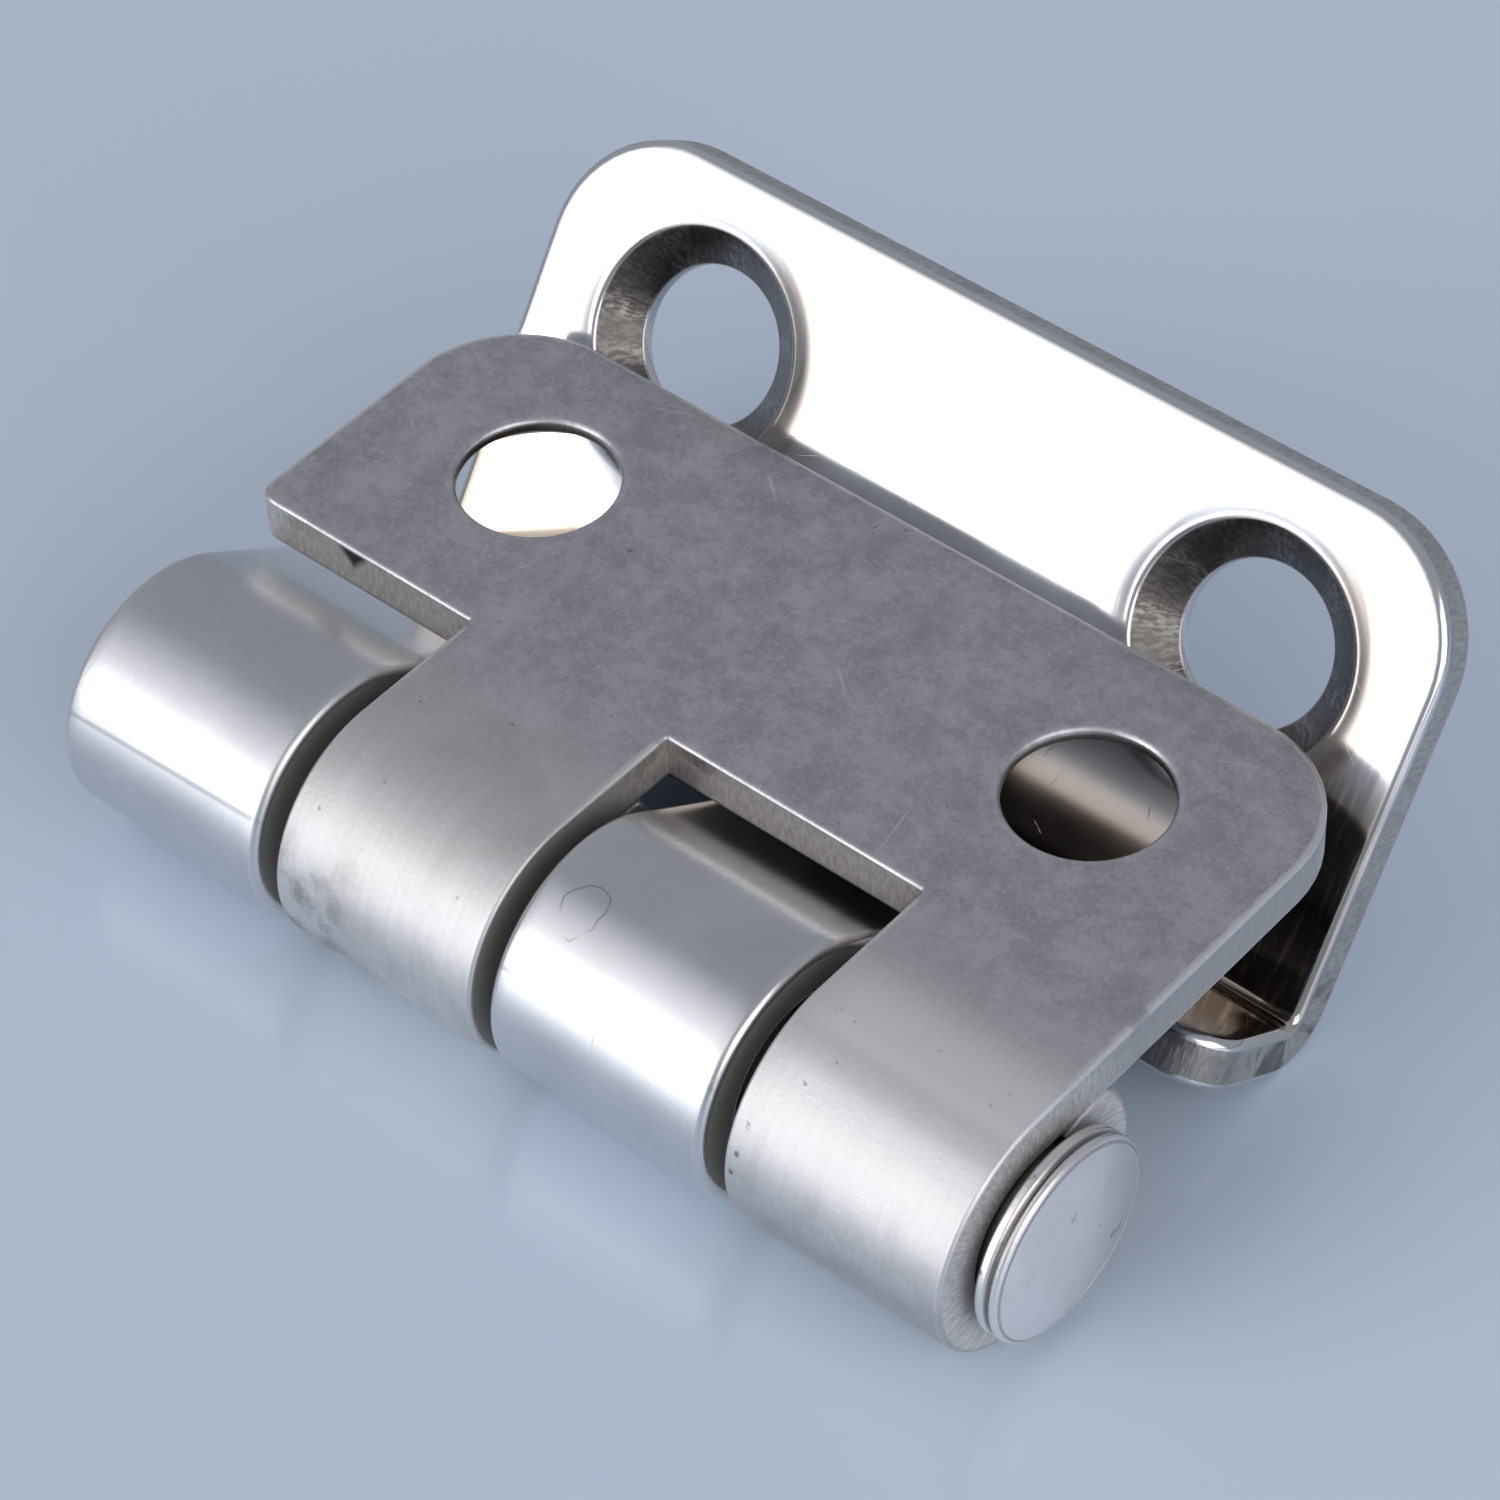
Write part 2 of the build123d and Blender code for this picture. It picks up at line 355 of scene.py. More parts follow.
for share in (1.0, 0.85, 0.7, 0.55, 0.4, 0.25, 0.1):
    drop = dish_depth * (1 - share) ** 2
    angle_profile.append((mouth_start + dish_reach * share, drop, dish_reach * share, 0.0, 0.0))
angle_profile += [(radius, depth + dish_depth, *values) for radius, depth, *values in mouth]
angle_profile += [
    (hole_radius + 1.5 * CREASE, cone_depth - 1.5 * CREASE, 0.0, 0.0, 1.0),
    (hole_radius, cone_depth + CREASE, 0.0, 0.0, 1.0),
]
angle_profile = from_above(angle_profile) + hole_rim(hole_radius, BACK_EDGE, WALL, (0.4, 0.1))[::-1]
for side in (-1, 1):
    angle_blank.sink_hole(side * hole_half_spacing, flange_hole, angle_profile)
angle_blank.open_bore(peen_flare)
for down, tip, far_tip, up in ((17, 0, 1, 2), (5, 6, 7, 8)):
    angle_blank.fill_rows((down, tip), (far_tip, up))
    angle_blank.fill_tip(tip, far_tip)
angle_blank.fill_rows((15, 16), (11, 12))
angle_blank.fill_plate([(2, 5), (8, 11), (16, 17)], False)
angle_blank.fill_plate([(12, 15)], True)
angle_leaf = angle_blank.make("angle_leaf_sheet")
print("angle leaf blank:", len(angle_leaf.data.polygons), "faces")

# %% [markdown]
# ## Rolling and bending
# Both leaves follow one rule, so one Geometry Nodes tree does both: past the pin the sheet wraps round
# the bore, on its plate it stays flat, and from the bend's start it turns up round the bend's radius.
# The tree moves points only, so the rings keep their edge distances. It could be a Simple Deform
# modifier, but that can't wrap one part of the sheet and bend another.
#
# A rule is a formula, and a formula in nodes is one Math node for each sign. So that the script can
# write it as a formula, a small class stands for a node's output and adds a node for each sign.

# %% Outputs of nodes, used in formulas
class Value:
    """An output of a node. Each step of a formula with it adds one node to its tree."""

    def __init__(self, nodes, socket):
        self.nodes, self.socket = nodes, socket

    def calc(self, operation, *others):
        """One Math node on this value and others."""
        return self.nodes.calc(operation, self, *others)

    def __add__(self, other):
        return self.calc("ADD", other)

    def __sub__(self, other):
        return self.calc("SUBTRACT", other)

    def __rsub__(self, other):
        return self.nodes.calc("SUBTRACT", other, self)

    def __mul__(self, other):
        return self.calc("MULTIPLY", other)

    def __truediv__(self, other):
        return self.calc("DIVIDE", other)

    def __abs__(self):
        return self.calc("ABSOLUTE")

    def ramp(self, start, end, low=0.0, high=1.0):
        """A smooth step of the value between two levels."""
        made = self.nodes.add("ShaderNodeMapRange", interpolation_type="SMOOTHSTEP")
        return self.nodes.feed(made, self, start, end, low, high)


# %% Nodes of a tree
class Nodes:
    """Short calls for the nodes of one tree."""

    def __init__(self, tree):
        self.tree = tree

    def add(self, kind, **settings):
        """Adds a node with its settings."""
        made = self.tree.nodes.new(kind)
        for name, value in settings.items():
            setattr(made, name, value)
        return made

    def connect(self, value, socket):
        """Links a value to a socket, or sets the socket to a plain number, place or colour."""
        if isinstance(value, Value):
            self.tree.links.new(value.socket, socket)
        else:
            socket.default_value = value

    def feed(self, node, *values, result=0):
        """Connects values to a node's first sockets, and returns one of its outputs."""
        for value, socket in zip(values, node.inputs):
            self.connect(value, socket)
        return Value(self, node.outputs[result])

    def calc(self, operation, *terms, clamp=False):
        """One Math node."""
        return self.feed(self.add("ShaderNodeMath", operation=operation, use_clamp=clamp), *terms)

    def vector(self, operation, one, two, result=0):
        """One Vector Math node."""
        return self.feed(self.add("ShaderNodeVectorMath", operation=operation), one, two, result=result)

    def split(self, place):
        """The three parts of a place."""
        made = self.add("ShaderNodeSeparateXYZ")
        self.feed(made, place)
        return [Value(self, socket) for socket in made.outputs]

    def join(self, *parts):
        """A place of three parts."""
        return self.feed(self.add("ShaderNodeCombineXYZ"), *parts)

    def inputs(self, rows):
        """Inputs of the tree, from rows of name, kind and default; returns them by name."""
        for name, kind, default in rows:
            socket = self.tree.interface.new_socket(name, in_out="INPUT", socket_type="NodeSocket" + kind)
            if default is not None:
                socket.default_value = default
        made = self.add("NodeGroupInput")
        return {row[0]: Value(self, made.outputs[row[0]]) for row in rows}


# %% Nodes of a tree that makes a mesh
class MeshNodes(Nodes):
    """Short calls for a geometry tree with one result."""

    def __init__(self, name, result):
        super().__init__(bpy.data.node_groups.new(name, "GeometryNodeTree"))
        self.tree.interface.new_socket(result, in_out="OUTPUT", socket_type="NodeSocketGeometry")

    def place(self):
        """Where each point is."""
        return self.feed(self.add("GeometryNodeInputPosition"))

    def move(self, geometry, place, offset):
        """Puts the points of a geometry at a place, moved by an offset."""
        made = self.add("GeometryNodeSetPosition")
        self.connect(self.vector("ADD", place, offset), made.inputs["Position"])
        return self.feed(made, geometry)

    def finish(self, geometry, material):
        """Ends the tree: smooth shading, real meshes, and one material."""
        smooth = self.feed(self.add("GeometryNodeSetShadeSmooth"), geometry)
        real = self.feed(self.add("GeometryNodeRealizeInstances"), smooth)
        painted = self.add("GeometryNodeSetMaterial")
        self.connect(material, painted.inputs["Material"])
        self.connect(self.feed(painted, real), self.add("NodeGroupOutput").inputs[0])


# %% Tree that rolls and bends a sheet
def roll_tree():
    """Wraps a flat blank round the pin and bends it up, then turns it to the leaf's slope."""
    nodes = MeshNodes("roll_and_bend_sheet", "Leaf")
    given = nodes.inputs((
        ("Blank", "Geometry", None), ("Bore", "Float", bore * MM), ("Sheet", "Float", sheet * MM),
        ("Roll Skew", "Float", roll_skew), ("Bend Start", "Float", 1.0),
        ("Bend Inside", "Float", bend_inside * MM), ("Leaf Angle", "Float", 0.0),
        ("Pin Axis", "Vector", (0, 0, 0)), ("Finish", "Material", None),
    ))
    inside, thick, bend_in = given["Bore"], given["Sheet"], given["Bend Inside"]
    x, s, height = nodes.split(nodes.place())
    skew = (height / thick - 0.5) * given["Roll Skew"] + 1.0
    turn = (s * -1.0).calc("MAXIMUM", 0.0) / (thick * 0.5 + inside) * skew
    out = inside + height
    roll_along = out * turn.calc("SINE") * -1.0
    roll_up = out * turn.calc("COSINE")
    past = (s - given["Bend Start"]).calc("MAXIMUM", 0.0)
    bend_middle = thick * 0.5 + bend_in
    bend = (past / bend_middle).calc("MINIMUM", math.pi / 2)
    rest = (past - bend_middle * (math.pi / 2)).calc("MAXIMUM", 0.0)
    reach = bend_in + thick - height
    flat = s.calc("MAXIMUM", 0.0).calc("MINIMUM", given["Bend Start"])
    along = roll_along + flat + reach * bend.calc("SINE")
    up = roll_up + reach * (1.0 - bend.calc("COSINE")) + rest
    cosine, sine = given["Leaf Angle"].calc("COSINE"), given["Leaf Angle"].calc("SINE")
    sloped = nodes.join(x, along * cosine - up * sine, along * sine + up * cosine)
    nodes.finish(nodes.move(given["Blank"], sloped, given["Pin Axis"]), given["Finish"])
    return nodes.tree


leaf_tree = roll_tree()
print("tree", leaf_tree.name, "has", len(leaf_tree.nodes), "nodes")


# %% Turn a tree's result into a plain mesh
def shape(piece, tree, values):
    """Runs a geometry tree on a piece with named values, and keeps the result as a plain mesh."""
    modifier = piece.modifiers.new("shape", "NODES")
    modifier.node_group = tree
    sockets = {item.name: item.identifier for item in tree.interface.items_tree if item.in_out == "INPUT"}
    for name, value in values.items():
        modifier[sockets[name]] = value
    evaluated = piece.evaluated_get(bpy.context.evaluated_depsgraph_get())
    mesh = bpy.data.meshes.new_from_object(evaluated)
    piece.modifiers.clear()
    mesh.name = piece.name
    piece.data = mesh
    ends = [[round(pick(v.co[k] for v in mesh.vertices) / MM, 2) for k in range(3)] for pick in (min, max)]
    print(piece.name, len(mesh.polygons), "faces, from", ends[0], "to", ends[1])


# %% [markdown]
# ## Finishes
# All three pieces are stainless steel, but each got its own treatment: the angle leaf was polished, the
# flat leaf was tumbled dull, and the pin is satin. The wear they share is built once as node groups:
# hair scratches, speckle with mottling, and the worn edge of a punched sheet. A flat picture could hold
# all this, but a group with named inputs can be reused with other values.
#
# The leaves read their place on the sheet from the blank's attributes, so the scratches follow the
# sheet round the knuckles, and the cut walls get streaks straight through the sheet, as a punch leaves.

# %% Nodes of a finish
class Finish(Nodes):
    """Short calls for the nodes of a finish."""

    def mix(self, kind, first, result, values):
        """A factor and two values of a kind, whose sockets start at a number of the Mix node."""
        made = self.add("ShaderNodeMix", data_type=kind)
        for value, number in zip(values, (0, first, first + 1)):
            self.connect(value, made.inputs[number])
        return Value(self, made.outputs[result])

    def fade(self, factor, one, two):
        """Goes from one number to another by a factor."""
        return self.mix("FLOAT", 2, 0, (factor, one, two))

    def tint(self, factor, one, two):
        """Goes from one colour to another by a factor."""
        colors = [(*color, 1) if isinstance(color, tuple) else color for color in (one, two)]
        return self.mix("RGBA", 6, 2, (factor, *colors))

    def noise(self, place, scale, detail=2.0, turn=0.0, stretch=(1, 1, 1), fine=0.5):
        """Noise over a place, turned and stretched first; fine is how strong its small steps are."""
        mapping = self.add("ShaderNodeMapping", vector_type="TEXTURE")
        mapping.inputs["Rotation"].default_value = (0, 0, math.radians(turn))
        mapping.inputs["Scale"].default_value = [1 / size for size in stretch]
        made = self.add("ShaderNodeTexNoise")
        values = {"Vector": self.feed(mapping, place), "Scale": scale, "Detail": detail, "Roughness": fine}
        for name, value in values.items():
            self.connect(value, made.inputs[name])
        return Value(self, made.outputs[0])

    def use(self, group, **values):
        """Places a group, sets its inputs by name, and returns its outputs by name."""
        made = self.add("ShaderNodeGroup", node_tree=group.tree)
        for name, value in values.items():
            self.connect(value, made.inputs[name])
        return {socket.name: Value(self, socket) for socket in made.outputs}


# %% A group that reads a place on the surface
class Wear(Finish):
    """A shader group with a place and named numbers as inputs, and masks as outputs."""

    def __init__(self, name, numbers, masks):
        super().__init__(bpy.data.node_groups.new(name, "ShaderNodeTree"))
        for mask in masks:
            self.tree.interface.new_socket(mask, in_out="OUTPUT", socket_type="NodeSocketFloat")
        rows = [(label, "Float", default) for label, default in numbers.items()]
        self.given = self.inputs([("Place", "Vector", None), *rows])
        self.place = self.given["Place"]

    def give(self, **masks):
        """Connects the masks to the group's outputs."""
        end = self.add("NodeGroupOutput")
        for name, mask in masks.items():
            self.connect(mask, end.inputs[name])
        print("group", self.tree.name, "has", len(self.tree.nodes), "nodes")


# %% Group: hair scratches
hairs = Wear("hair_scratches", {"Scale": 1.0, "Amount": 0.5}, ["Scratches"])
level = hairs.given["Amount"] * -0.12 + 0.78
scratches = None
for turn, narrow, lengthen in ((24, 0.4, 12.0), (-38, 0.5, 10.0), (71, 0.5, 12.0), (-80, 0.4, 11.0)):
    hair = hairs.noise(hairs.place, hairs.given["Scale"], 1.0, turn, (narrow, lengthen, 1.0))
    here = hairs.noise(hairs.place, 0.4, 1.0, 3 * turn).ramp(0.48, 0.60)
    line = hair.ramp(level, level + 0.08) * here
    scratches = scratches.calc("MAXIMUM", line) if scratches else line
hairs.give(Scratches=scratches)

# %% Group: speckle and mottling
speckle = Wear("tumbled_speckle", {"Grain": 5.0, "Patch": 0.35}, ["Speckle", "Mottle"])
grain = speckle.noise(speckle.place, speckle.given["Grain"], 2.0)
patch = speckle.noise(speckle.place, speckle.given["Patch"], 5.0)
speckle.give(Speckle=grain.ramp(0.48, 0.80), Mottle=patch.ramp(0.30, 0.70))

# %% Group: punched edge
punched = Wear("punched_edge", {"Edge": 1.0, "Width": 0.1, "Depth": 1.0}, ["Shine", "Streaks", "Burnish"])
rub = punched.noise(punched.place, 1.6, 3.0)
width = punched.given["Width"] * rub.ramp(0.25, 0.65, 0.35, 1.4)
break_line = rub * 0.8 + 0.35
punched.give(
    Shine=punched.given["Edge"].ramp(width, 0.0),
    Streaks=punched.noise(punched.place, 6.0, 3.0).ramp(0.3, 0.7),
    Burnish=punched.given["Depth"].ramp(break_line, break_line - 0.12),
)


# %% Metals to start from
class Metal(Finish):
    """A metal material with its shader."""

    def __init__(self, name):
        self.material = bpy.data.materials.new(name)
        self.material.use_nodes = True
        super().__init__(self.material.node_tree)
        self.shader = self.tree.nodes["Principled BSDF"]
        self.shader.inputs["Metallic"].default_value = 1.0

    def dress(self, color, rough, relief, height):
        """Connects the colour, the roughness, and a fine relief of a height in metres."""
        bump = self.add("ShaderNodeBump")
        bump.inputs["Distance"].default_value = height
        self.connect(relief, bump.inputs["Height"])
        normal = Value(self, bump.outputs[0])
        for value, name in ((color, "Base Color"), (rough, "Roughness"), (normal, "Normal")):
            self.connect(value, self.shader.inputs[name])
        print("finish", self.material.name, "has", len(self.tree.nodes), "nodes")


class SheetMetal(Metal):
    """A metal that reads a blank's attributes, and its place on the sheet in millimetres."""

    def __init__(self, name):
        super().__init__(name)
        self.edge, self.wall, self.hole, self.along, self.across, self.depth = (
            self.feed(self.add("ShaderNodeAttribute", attribute_name=label), result="Fac")
            for label in ("edge", "wall", "hole", "along", "across", "depth")
        )
        self.place = self.join(self.across, self.along, self.depth * 0.35)
        self.at_end = abs(self.across).ramp(right_end - 0.4, right_end - 0.1)

    def from_spot(self, x, s):
        """Distance over the upper face of the sheet from a spot."""
        return self.vector("DISTANCE", self.place, (x, s, 0), "Value")

    def from_hole(self, hole_along):
        """Steps across and along from the nearest hole of a pair, and the distance from its middle."""
        across, along = abs(self.across) - hole_half_spacing, self.along - hole_along
        return across, along, (across * across + along * along).calc("SQRT")


# %% [markdown]
# ## Dull steel
# The flat leaf was tumbled in a drum of stones, which leaves a grey, fine-grained face. Later its
# knuckles were rubbed brighter. The second knuckle is darker in patches on its lower side, and the last
# knuckle has a painted highlight on top and painted shade below. Such marks could be painted by hand.
# Here each mark is a mask made from the place on the sheet: a ramp says where it fades in, noise breaks
# it up, and the mask blends one colour into the next. All lengths are millimetres on the sheet.

# %% Dull steel: tumbled face and worn knuckles
dull = SheetMetal("dull_steel_finish")
place, along, across, depth = dull.place, dull.along, dull.across, dull.depth
tumble = dull.use(speckle, Place=place, Grain=6.0, Patch=0.26)
grain = dull.fade(0.15, dull.noise(place, 0.5, 4.0, fine=0.9).ramp(0.34, 0.66), tumble["Mottle"])
color = dull.tint(grain, (0.44, 0.432, 0.46), (0.65, 0.64, 0.672))
rough = dull.fade(tumble["Mottle"], 0.46, 0.38)
worn = along.ramp(7.0, -1.0)
brushed = dull.noise(place, 1.0, 3.0, stretch=(5.0, 0.25, 1)).ramp(0.3, 0.7)
color = dull.tint(worn, color, dull.tint(brushed, (0.675, 0.665, 0.66), (0.72, 0.71, 0.705)))
rough = dull.fade(worn, rough, 0.52)

# %% Dull steel: the last knuckle, with a painted highlight on top and painted shade below
on_last = across.ramp(9.0, 13.0)
# Painted highlight on the top of the last knuckle, dimmer in a band along it.
dark_band = abs(along + 1.5).ramp(0.2, 0.9, 0.4, 1.0)
k4_painted_highlight = along.ramp(-4.0, -1.2) * along.ramp(3.0, 0.2) * on_last * dark_band
color = dull.tint(k4_painted_highlight, color, (0.98, 0.97, 0.965))
# Painted shade on the lower side of the last knuckle.
color = dull.tint(along.ramp(-5.5, -7.8, 0.0, 0.8) * on_last, color, (0.48, 0.475, 0.475))

# %% Dull steel: haze, dark patches low on the second knuckle, two pits, and scratches
haze = dull.noise(place, 0.2, 6.0, stretch=(1, 1.8, 1)).ramp(0.42, 0.66)
color = dull.tint(haze * along.ramp(9.0, 1.0, 0.1, 0.35) * (1.0 - on_last), color, (0.52, 0.475, 0.445))
# Darker patches on the lower side of the second knuckle, left of its middle, and dark spots all over.
low_dark_patches = dull.noise(place, 0.8, 6.0).ramp(0.44, 0.64)
low_dark_patches = low_dark_patches * along.ramp(-3.0, -6.5, 0.0, 0.6) * across.ramp(-4.5, -8.5, 0.2, 1.0)
spots = dull.noise(place, 1.7, 3.0).ramp(0.70, 0.76) * 0.6
color = dull.tint(spots.calc("MAXIMUM", low_dark_patches), color, (0.20, 0.185, 0.17))
from_pits = dull.from_spot(11.4, -5.44).calc("MINIMUM", dull.from_spot(11.25, -6.18))
color = dull.tint(from_pits.ramp(0.14, 0.06, 0.0, 0.7), color, (0.10, 0.09, 0.085))
short = dull.use(hairs, Place=place, Scale=0.8, Amount=0.45)["Scratches"]
long = dull.use(hairs, Place=place, Scale=0.3, Amount=0.5)["Scratches"]
scratches = short.calc("MAXIMUM", long)
marks = (tumble["Speckle"] * 0.3).calc("MAXIMUM", scratches * 0.5)
color = dull.tint(marks, color, (0.86, 0.85, 0.85))

# %% Dull steel: edges rubbed bright, less so at the holes and the notch
edge = dull.use(punched, Place=place, Edge=dull.edge, Width=0.12, Depth=depth)
from_middle = dull.from_hole(flat_hole)[2]
at_notch = abs(along - flat_notch).ramp(0.6, 0.3)
shine = edge["Shine"] * along.ramp(0.0, 3.0, 0.15, 0.75)
shine = shine * from_middle.ramp(hole_radius + 0.6, hole_radius + 1.0, 0.2, 1.0) * (at_notch * -0.85 + 1.0)
color = dull.tint(shine, color, (0.92, 0.90, 0.87))
rough = dull.fade(shine, rough, 0.36)

# %% Dull steel: cut walls
SLOT_GREY, SLOT_ROUGH = (0.44, 0.425, 0.40), 0.75
wall_color = dull.tint(edge["Streaks"], (0.61, 0.58, 0.54), (0.79, 0.76, 0.72))
wall_color = dull.tint(along.ramp(15.0, 18.0), wall_color, (0.78, 0.79, 0.81))
wall_color = dull.tint(dull.at_end * along.ramp(2.0, 6.0, 0.0, 0.6), wall_color, (0.46, 0.455, 0.46))
rolled_end = dull.at_end * along.ramp(4.0, 0.0)
rolled_color = dull.tint(edge["Streaks"], (0.66, 0.65, 0.64), (0.86, 0.85, 0.84))
wall_color = dull.tint(rolled_end, wall_color, rolled_color)
slot = along.ramp(4.5, 1.5) * (1.0 - dull.at_end)
wall_color = dull.tint(slot, wall_color, SLOT_GREY)
smudge = (abs(across + 15.2) + depth * 0.9).ramp(1.1, 0.6) * along.ramp(6.2, 5.6)
wall_color = dull.tint(smudge, wall_color, (0.06, 0.055, 0.05))
wall_rough = dull.fade(edge["Burnish"], 0.55, 0.42)
wall_rough = dull.fade(rolled_end.calc("MAXIMUM", slot), wall_rough, SLOT_ROUGH)
color = dull.tint(dull.wall, color, wall_color)
color = dull.tint(dull.hole, color, (0.34, 0.32, 0.30))
rough = dull.fade(dull.wall, rough, wall_rough)
relief = tumble["Speckle"] + edge["Streaks"] * (dull.wall * (1.0 - slot)) - scratches
dull.dress(color, rough, relief, 0.000004)

# %% [markdown]
# ## Polished steel
# The angle leaf was polished on a wheel, so it mirrors its surroundings and its own walls. The wheel
# left the first knuckle satin and a sooty corner that it didn't reach. A thin dark line along the
# knuckles is a painted reflection of the horizon, and a beige tint inside the bend is a painted
# reflection. The countersinks were cut after that, so their cones are dark with turning marks.
# A mirror shows every bump, so this finish works with roughness more than with relief.

# %% Polished steel: clean faces, and the inside of the bend, smoother and with a painted beige reflection
polished = SheetMetal("polished_steel_finish")
place, along, across, depth = polished.place, polished.along, polished.across, polished.depth
tumble = polished.use(speckle, Place=place, Grain=2.5, Patch=0.22)
color = polished.tint(tumble["Mottle"], (0.635, 0.64, 0.66), (0.705, 0.71, 0.73))
rough = polished.fade(tumble["Mottle"], 0.14, 0.21)
upper = depth.ramp(1.2, 0.6)
inner = (along.ramp(9.5, 11.5) - along.ramp(18.5, 21.0)) * upper
# Painted reflection: a beige tint on the upper face round the bend, which is also smoother.
color = polished.tint(inner, color, (0.54, 0.46, 0.38))
rough = polished.fade(inner, rough, 0.08)
brush = polished.noise(place, 0.7, 5.0, stretch=(6.0, 0.5, 1))
soot = (brush * 1.6 + along).ramp(26.4, 23.6) * across.ramp(13.5, 16.5, 0.0, 0.92)
soot_color = polished.tint(brush.ramp(0.5, 0.7), (0.16, 0.135, 0.115), (0.45, 0.37, 0.30))
color = polished.tint(soot * along.ramp(14.0, 16.0) * upper, color, soot_color)

# %% Polished steel: satin first knuckle, a painted reflection of the horizon, and a curled scratch
painted_horizon_line, painted_horizon_slope = 6.85, -0.0285
on_knuckle = along.ramp(4.0, 0.0)
satin = across.ramp(-5.0, -10.0)
knuckle_rough = polished.fade(satin, polished.fade(tumble["Mottle"], 0.25, 0.29), 0.35)
rough = polished.fade(on_knuckle, rough, knuckle_rough)
grain = polished.noise(place, 3.0, 3.0, fine=0.9).ramp(0.36, 0.64, 0.0, 0.4) * (satin * on_knuckle)
color = polished.tint(grain, color, (0.59, 0.595, 0.615))
scratches = polished.use(hairs, Place=place, Scale=0.8, Amount=0.5)["Scratches"]
rough = polished.fade(scratches, rough, 0.3)
# Painted reflection: a thin dark line of the horizon along the knuckles.
from_painted_horizon = abs(along + (across * painted_horizon_slope + painted_horizon_line))
color = polished.tint(from_painted_horizon.ramp(0.12, 0.04, 0.0, 0.45), color, (0.16, 0.17, 0.21))
wobble = polished.noise(place, 0.9, 1.0) * 0.9 - 0.45
curl = abs(polished.from_spot(2.45, -4.2) - 0.75 + wobble).ramp(0.05, 0.02, 0.0, 0.45)
color = polished.tint(curl * polished.noise(place, 0.7, 0.0).ramp(0.42, 0.55), color, (0.16, 0.16, 0.18))

# %% Polished steel: edges and cut walls
edge = polished.use(punched, Place=place, Edge=polished.edge, Width=0.1, Depth=depth)
color = polished.tint(edge["Shine"] * 0.5, color, (0.80, 0.79, 0.78))
wall_color = polished.tint(edge["Streaks"], (0.46, 0.45, 0.44), (0.60, 0.595, 0.59))
scuff = polished.noise(place, 0.8, 4.0).ramp(0.48, 0.62)
scuff = scuff * along.ramp(20.0, 15.0, 0.1, 0.8) * along.ramp(2.0, 8.0, 0.15, 1.0)
wall_color = polished.tint(scuff, wall_color, (0.16, 0.15, 0.14))
front_edge = abs(along - angle_notch).ramp(2.4, 1.2, 0.0, 0.5) * across.ramp(9.0, 11.0)
wall_color = polished.tint(front_edge, wall_color, (0.20, 0.19, 0.185))
slot = along.ramp(7.0, 3.0) * (1.0 - polished.at_end)
wall_color = polished.tint(slot, wall_color, SLOT_GREY)
wall_rough = polished.fade(slot, polished.fade(edge["Burnish"], 0.58, 0.46), SLOT_ROUGH)
color = polished.tint(polished.wall, color, wall_color)
rough = polished.fade(polished.wall, rough, wall_rough)

# %% Polished steel: turned countersinks, and painted shade to the right of each
hole_across, hole_along, from_middle = polished.from_hole(flange_hole)
to_right = hole_across * across.calc("SIGN") / from_middle
# Painted shade: a soft beige-brown band on the right side of each hole's dish.
painted_dish_shade = to_right.ramp(0.1, 0.75, 0.0, 0.85) * from_middle.ramp(5.9, 5.55)
painted_dish_shade = painted_dish_shade * polished.calc("SUBTRACT", upper, polished.hole, clamp=True)
color = polished.tint(painted_dish_shade, color, (0.45, 0.395, 0.345))
spoke = polished.join(hole_across / from_middle, hole_along / from_middle, from_middle * 0.15)
zone = polished.noise(spoke, 3.0, 1.0).ramp(0.40, 0.65)
chatter = polished.noise(spoke, 24.0, 3.0).ramp(0.36, 0.66) * (zone * 0.7 + 0.3)
cone = polished.hole * depth.ramp(1.5, 1.42)
color = polished.tint(cone, color, polished.tint(chatter, (0.12, 0.11, 0.10), (0.30, 0.285, 0.27)))
rough = polished.fade(cone, rough, 0.30)
rings = (from_middle * 40.0).calc("SINE")
turned = (rings * 0.08 + chatter * 0.5) * cone
relief = turned + edge["Streaks"] * (polished.wall * (1.0 - slot)) - scratches * 0.3
polished.dress(color, rough, relief, 0.000012)

# %% [markdown]
# ## Satin steel
# The pin is bright and satin, with painted shade in its groove, on the shank between the leaves and on
# its far side. It has no sheet to read from, so it uses Object coordinates, which a Mapping
# node turns into millimetres so that the groups work at the same scale.

# %% Satin steel of the pin
satin_pin = Metal("pin_steel_finish")
mapping = satin_pin.add("ShaderNodeMapping")
mapping.inputs["Scale"].default_value = [1 / MM] * 3
place = satin_pin.feed(mapping, satin_pin.feed(satin_pin.add("ShaderNodeTexCoord"), result="Object"))
x, y, _ = satin_pin.split(place)
tumble = satin_pin.use(speckle, Place=place, Grain=3.0, Patch=0.5)
color = satin_pin.tint(tumble["Mottle"], (0.89, 0.855, 0.84), (0.96, 0.93, 0.915))
smudge = satin_pin.noise(place, 0.9, 4.0).ramp(0.66, 0.74)
color = satin_pin.tint(smudge, color, (0.30, 0.28, 0.26))
# Painted shade: the pin darker towards its far side.
far_side_painted_shade = (y - pin_axis.y / MM).ramp(0.0, 3.5, 0.0, 0.45)
color = satin_pin.tint(far_side_painted_shade, color, (0.55, 0.55, 0.56))
# Painted shade: a dark ring in the groove under the head's cap.
groove_painted_shade = abs(x - (pin_axis.x / MM + groove_at)).ramp(0.15, 0.05, 0.0, 0.85)
color = satin_pin.tint(groove_painted_shade, color, (0.16, 0.15, 0.14))
